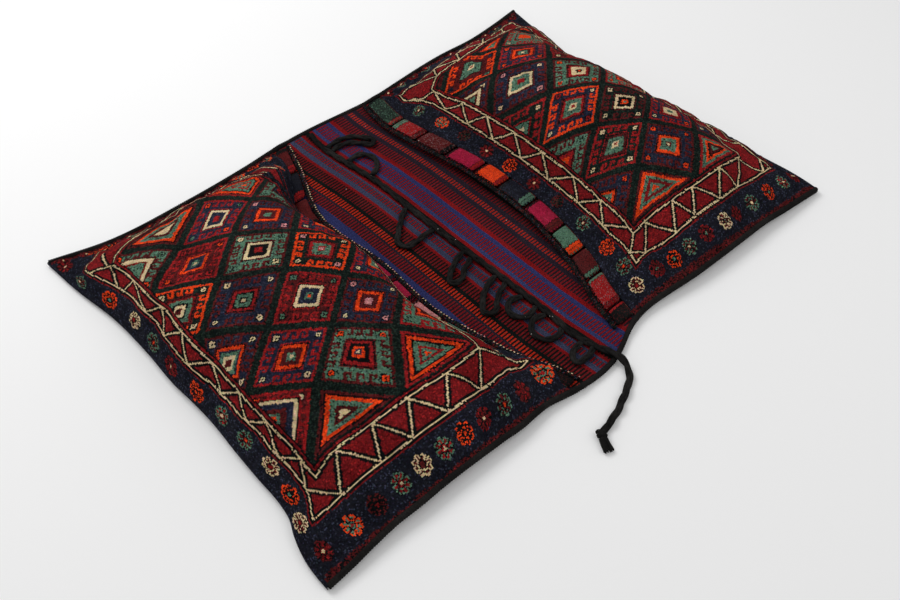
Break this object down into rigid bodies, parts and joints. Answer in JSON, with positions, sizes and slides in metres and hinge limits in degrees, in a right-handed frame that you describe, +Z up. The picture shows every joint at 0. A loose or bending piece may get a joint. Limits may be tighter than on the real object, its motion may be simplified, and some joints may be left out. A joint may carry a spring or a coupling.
{
  "type": "double saddle bag",
  "caption": "Double saddle bag of soft pile-faced pockets on one striped flatweave cloth, with bound sides, slit closure tabs at the mouths and a braided closing rope with loops.",
  "frame": {"origin": "on the floor under the middle of the bag, which lies open on its back", "axes": "+X from the left pocket to the right pocket along the bag's length, -Y toward the near bound edge, +Z up"},
  "size_m": [1.422, 1.1486, 0.1768],
  "materials": {
    "black_binding": "overcast goat hair, matt",
    "black_wool": "wrapped wool, matt",
    "dark_green_wool": "wrapped wool, matt",
    "edge_cord": "stitched wool, matt",
    "goat_hair_rope": "braided goat hair, matt",
    "green_wool": "wrapped wool, matt",
    "magenta_wool": "wrapped wool, matt",
    "maroon_wool": "wrapped wool, matt",
    "navy_wool": "wrapped wool, matt",
    "orange_wool": "wrapped wool, matt",
    "pink_wool": "wrapped wool, matt",
    "red_wool": "wrapped wool, matt",
    "striped_flatweave": "flat woven wool, striped, matt",
    "wool_pile": "dense short wool pile, matt"
  },
  "bodies": {
    "root": {"closure_loop_1": "goat_hair_rope", "closure_loop_2": "goat_hair_rope", "closure_loop_3": "goat_hair_rope", "closure_loop_4": "goat_hair_rope", "closure_loop_5": "goat_hair_rope", "closure_loop_6": "goat_hair_rope", "closure_loop_7": "goat_hair_rope", "closure_loop_8": "goat_hair_rope", "closure_rope": "goat_hair_rope", "far_side_binding": "black_binding", "flatwoven_back": "striped_flatweave", "left_band_edge_cord": "edge_cord", "left_closure_tab_01": "black_wool", "left_closure_tab_02": "maroon_wool", "left_closure_tab_03": "green_wool", "left_closure_tab_04": "pink_wool", "left_closure_tab_05": "magenta_wool", "left_closure_tab_06": "magenta_wool", "left_closure_tab_07": "navy_wool", "left_closure_tab_08": "orange_wool", "left_closure_tab_09": "green_wool", "left_closure_tab_10": "red_wool", "left_closure_tab_11": "maroon_wool", "left_pile_face": "wool_pile", "near_side_binding": "black_binding", "right_band_edge_cord": "edge_cord", "right_closure_tab_01": "black_wool", "right_closure_tab_02": "red_wool", "right_closure_tab_03": "maroon_wool", "right_closure_tab_04": "green_wool", "right_closure_tab_05": "magenta_wool", "right_closure_tab_06": "navy_wool", "right_closure_tab_07": "orange_wool", "right_closure_tab_08": "magenta_wool", "right_closure_tab_09": "maroon_wool", "right_closure_tab_10": "red_wool", "right_closure_tab_11": "dark_green_wool", "right_pile_face": "wool_pile", "rope_knot": "goat_hair_rope", "rope_tassel": "goat_hair_rope"}
  },
  "joints": []
}
